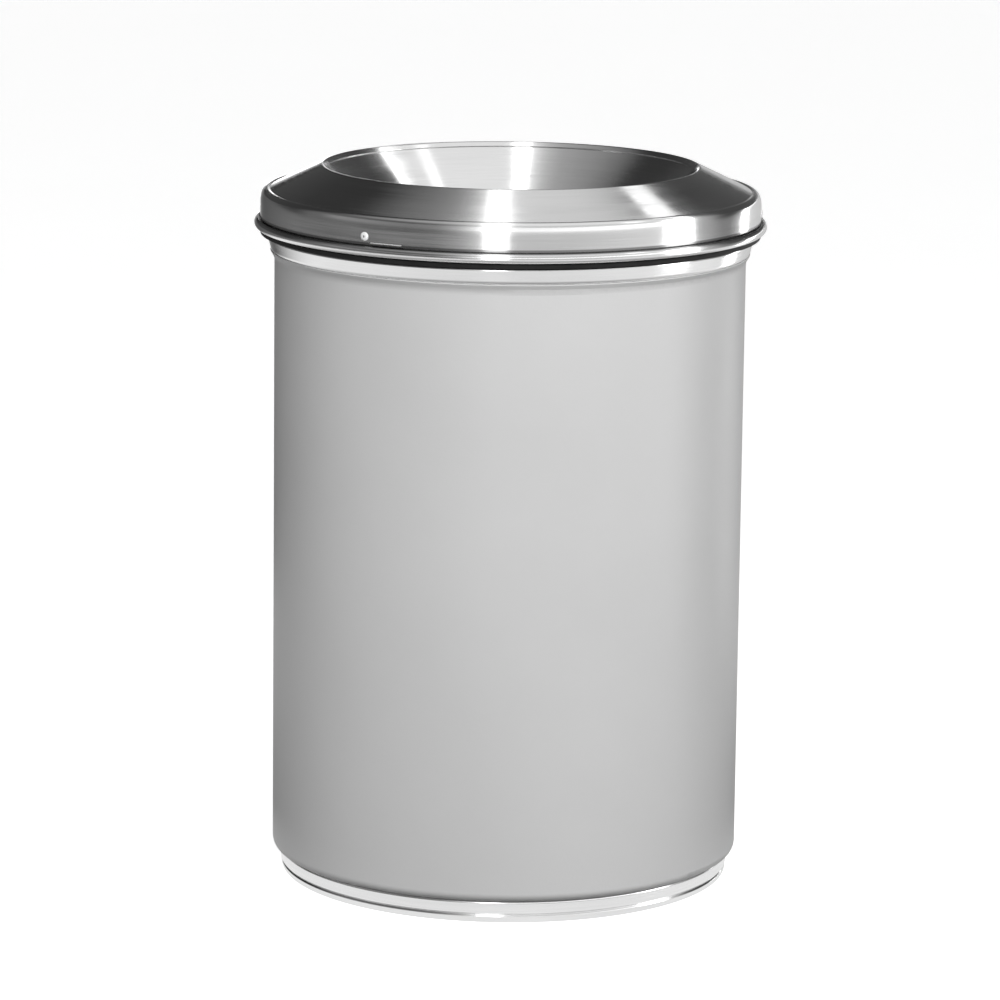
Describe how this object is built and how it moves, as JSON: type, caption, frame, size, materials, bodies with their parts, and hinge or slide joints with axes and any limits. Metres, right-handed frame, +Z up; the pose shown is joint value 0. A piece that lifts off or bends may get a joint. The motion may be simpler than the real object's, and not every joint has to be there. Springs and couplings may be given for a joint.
{
  "type": "fire-resistant waste receptacle",
  "caption": "Round steel waste drum with a lift-off spun-aluminium head whose wide funnel mouth lets waste drop in and keeps air from a fire inside.",
  "frame": {"origin": "centre of the foot, on the floor", "axes": "+Z up along the drum's axis; the front faces -Y, with the first spring rivet on its left and the shell's lapped seam at the back, +Y"},
  "size_m": [0.302, 0.302, 0.4246],
  "materials": {
    "powder_coat": "smooth satin powder coat, light grey",
    "zinc_steel": "plain zinc-coated sheet",
    "bright_steel": "bright rolled steel, fine lines along the ring",
    "wire": "plain drawn wire",
    "spring_steel": "bright spring strip",
    "spun_aluminium": "spun, fine turning lines around the axis",
    "rivet_aluminium": "smooth bright",
    "black_rubber": "matt moulded"
  },
  "bodies": {
    "drum": {"drum_shell": "powder_coat", "drum_base": "zinc_steel", "base_ring": "bright_steel", "drum_collar": "bright_steel", "rim_wire": "wire"},
    "seal": {"rim_seal": "black_rubber"},
    "head": {"head_cap": "spun_aluminium", "funnel": "spun_aluminium", "lip_wire": "wire", "throat_wire": "wire", "retaining_spring_1": "spring_steel", "retaining_spring_2": "spring_steel", "retaining_spring_3": "spring_steel", "spring_rivet_1": "rivet_aluminium", "spring_rivet_2": "rivet_aluminium", "spring_rivet_3": "rivet_aluminium", "rivet_mandrel_1": "wire", "rivet_mandrel_2": "wire", "rivet_mandrel_3": "wire"}
  },
  "joints": [
    {"name": "head_turn", "type": "hinge", "parent": "drum", "child": "seal", "pos_m": [0, 0, 0.385], "axis": [0, 0, 1], "continuous": true},
    {"name": "head_lift", "type": "slide", "parent": "seal", "child": "head", "axis": [0, 0, 1], "range_m": [0, 0.12]}
  ]
}
